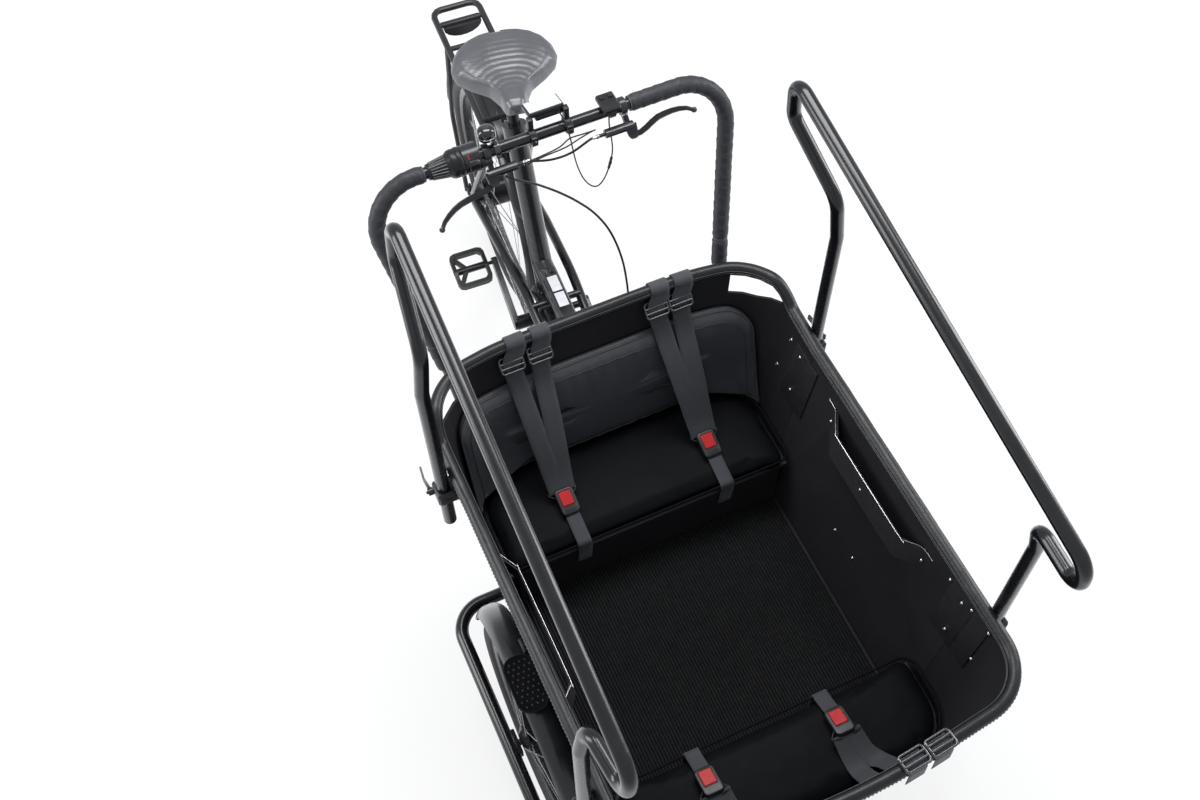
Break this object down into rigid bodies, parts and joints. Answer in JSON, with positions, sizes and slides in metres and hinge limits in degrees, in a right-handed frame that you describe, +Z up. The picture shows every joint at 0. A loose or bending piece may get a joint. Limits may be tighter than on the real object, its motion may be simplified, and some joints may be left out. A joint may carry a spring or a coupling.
{
  "type": "electric cargo bike",
  "caption": "Electric cargo trike: a padded open box between the front wheels with benches, harnesses, side rails and a handlebar, and a steered rear frame with saddle, pedals and rack.",
  "frame": {"origin": "on the floor, under the middle of the overall length and width", "axes": "+X to the rider's left, +Y rearwards, +Z up"},
  "size_m": [0.8986, 2.1164, 1.3183],
  "materials": {
    "black_panel": "fine matt grain",
    "black_vinyl": "satin grained vinyl",
    "mat_rubber": "matt ribbed",
    "black_paint": "satin powder coat",
    "satin_black_paint": "satin",
    "dark_metal": "dark anodised",
    "tyre_rubber": "matt",
    "gloss_black_plastic": "gloss",
    "black_plastic": "matt",
    "steel": "oiled",
    "red_plastic": "satin",
    "black_webbing": "woven"
  },
  "bodies": {
    "box": {"axle_frame": "black_paint", "backrest_pad": "black_vinyl", "bar_wrap_left": "black_vinyl", "bar_wrap_right": "black_vinyl", "bell": "gloss_black_plastic", "bench_front": "black_panel", "bench_rear": "black_panel", "brake_hoses": "black_plastic", "brake_mount_left": "dark_metal", "brake_mount_right": "dark_metal", "button_pad": "black_plastic", "cushion_front": "black_vinyl", "cushion_rear": "black_vinyl", "display": "black_plastic", "display_lead": "black_plastic", "floor_mat": "mat_rubber", "floor_panel": "black_panel", "harness_front_left": "black_webbing", "harness_front_right": "black_webbing", "harness_rear_left": "black_webbing", "harness_rear_right": "black_webbing", "mudguard_front_left": "gloss_black_plastic", "mudguard_front_right": "gloss_black_plastic", "panel_front": "black_panel", "panel_left": "black_panel", "panel_rear": "black_panel", "panel_right": "black_panel", "push_bar": "black_paint", "rail_clamp_left": "black_plastic", "rail_clamp_right": "black_plastic", "rim_wrap": "black_vinyl"},
    "rear": {"rear_frame": "black_paint", "rack": "satin_black_paint", "mudguard_rear": "gloss_black_plastic", "chain": "steel"},
    "wheel_front_left": {"wheel_front_left": "dark_metal", "tyre_front_left": "tyre_rubber"},
    "wheel_front_right": {"wheel_front_right": "dark_metal", "tyre_front_right": "tyre_rubber"},
    "wheel_rear": {"wheel_rear": "dark_metal", "tyre_rear": "tyre_rubber"},
    "crank": {"crankset": "dark_metal"},
    "pedal_left": {"pedal_left": "black_plastic"},
    "rail_left": {"rail_left": "black_paint"},
    "clamp_lever_left": {"clamp_lever_left": "dark_metal"},
    "brake_lever_left": {"brake_lever_left": "dark_metal"},
    "pedal_right": {"pedal_right": "black_plastic"},
    "rail_right": {"rail_right": "black_paint"},
    "clamp_lever_right": {"clamp_lever_right": "dark_metal"},
    "brake_lever_right": {"brake_lever_right": "dark_metal"},
    "battery": {"battery": "gloss_black_plastic"},
    "seat": {"seat_post": "dark_metal", "saddle": "black_vinyl"},
    "shifter_grip": {"shifter_grip": "black_vinyl"},
    "button_down": {"button_down": "black_plastic"},
    "button_up": {"button_up": "black_plastic"},
    "buckle_button_front_left": {"buckle_button_front_left": "red_plastic"},
    "buckle_button_front_right": {"buckle_button_front_right": "red_plastic"},
    "buckle_button_rear_left": {"buckle_button_rear_left": "red_plastic"},
    "buckle_button_rear_right": {"buckle_button_rear_right": "red_plastic"}
  },
  "joints": [
    {"name": "steering", "type": "hinge", "parent": "box", "child": "rear", "pos_m": [0, -0.57866, 0], "axis": [0, 0, 1], "range_deg": [-30, 36]},
    {"name": "front_wheel_left_spin", "type": "hinge", "parent": "box", "child": "wheel_front_left", "pos_m": [0.372, -0.57866, 0.251], "axis": [1, 0, 0], "continuous": true},
    {"name": "front_wheel_right_spin", "type": "hinge", "parent": "box", "child": "wheel_front_right", "pos_m": [-0.372, -0.57866, 0.251], "axis": [1, 0, 0], "continuous": true},
    {"name": "rear_wheel_spin", "type": "hinge", "parent": "rear", "child": "wheel_rear", "pos_m": [0.07769, 0.72903, 0.302], "axis": [0.9982, -0.0593, 0], "continuous": true},
    {"name": "crank_spin", "type": "hinge", "parent": "rear", "child": "crank", "pos_m": [0.05486, 0.34471, 0.275], "axis": [0.9982, -0.0593, 0], "continuous": true},
    {"name": "pedal_left_spin", "type": "hinge", "parent": "crank", "child": "pedal_left", "pos_m": [0.1928, 0.1879, 0.21506], "axis": [0.9982, -0.0593, 0], "continuous": true},
    {"name": "pedal_right_spin", "type": "hinge", "parent": "crank", "child": "pedal_right", "pos_m": [-0.08308, 0.50151, 0.33494], "axis": [0.9982, -0.0593, 0], "continuous": true},
    {"name": "battery_lift", "type": "slide", "parent": "rear", "child": "battery", "axis": [0, 0, 1], "range_m": [0, 0.05]},
    {"name": "seat_height", "type": "slide", "parent": "rear", "child": "seat", "axis": [0.0213, 0.3577, 0.9336], "range_m": [-0.08, 0.06]},
    {"name": "rail_left_height", "type": "slide", "parent": "box", "child": "rail_left", "axis": [0, 0, 1], "range_m": [0, 0.06]},
    {"name": "clamp_lever_left_turn", "type": "hinge", "parent": "box", "child": "clamp_lever_left", "pos_m": [0.4121, -0.21866, 0.7], "axis": [1, 0, 0], "range_deg": [0, 90]},
    {"name": "brake_lever_left_pull", "type": "hinge", "parent": "box", "child": "brake_lever_left", "pos_m": [0.148, 0.10182, 1.08433], "axis": [0, -0.6428, 0.766], "range_deg": [0, 7], "stiffness_Nm_per_rad": 0.6, "springref_deg": -17.19},
    {"name": "rail_right_height", "type": "slide", "parent": "box", "child": "rail_right", "axis": [0, 0, 1], "range_m": [0, 0.06]},
    {"name": "clamp_lever_right_turn", "type": "hinge", "parent": "box", "child": "clamp_lever_right", "pos_m": [-0.4121, -0.21866, 0.7], "axis": [1, 0, 0], "range_deg": [0, 90]},
    {"name": "brake_lever_right_pull", "type": "hinge", "parent": "box", "child": "brake_lever_right", "pos_m": [-0.124, 0.10182, 1.08433], "axis": [0, 0.6428, -0.766], "range_deg": [0, 13], "stiffness_Nm_per_rad": 0.6, "springref_deg": -17.19},
    {"name": "shifter_turn", "type": "hinge", "parent": "box", "child": "shifter_grip", "pos_m": [-0.166, 0.14434, 1.12], "axis": [1, 0, 0], "range_deg": [-40, 40]},
    {"name": "button_down_press", "type": "slide", "parent": "box", "child": "button_down", "axis": [0, 0, -1], "range_m": [0, 0.001], "stiffness_N_per_m": 300, "springref_m": -0.002},
    {"name": "button_up_press", "type": "slide", "parent": "box", "child": "button_up", "axis": [0, 0, -1], "range_m": [0, 0.001], "stiffness_N_per_m": 300, "springref_m": -0.002},
    {"name": "buckle_button_rear_left_press", "type": "slide", "parent": "box", "child": "buckle_button_rear_left", "axis": [0, 0.309, -0.9511], "range_m": [0, 0.003], "stiffness_N_per_m": 400, "springref_m": -0.002},
    {"name": "buckle_button_rear_right_press", "type": "slide", "parent": "box", "child": "buckle_button_rear_right", "axis": [0, 0.309, -0.9511], "range_m": [0, 0.003], "stiffness_N_per_m": 400, "springref_m": -0.002},
    {"name": "buckle_button_front_left_press", "type": "slide", "parent": "box", "child": "buckle_button_front_left", "axis": [0, -0.2079, -0.9781], "range_m": [0, 0.003], "stiffness_N_per_m": 400, "springref_m": -0.002},
    {"name": "buckle_button_front_right_press", "type": "slide", "parent": "box", "child": "buckle_button_front_right", "axis": [0, -0.2079, -0.9781], "range_m": [0, 0.003], "stiffness_N_per_m": 400, "springref_m": -0.002}
  ]
}
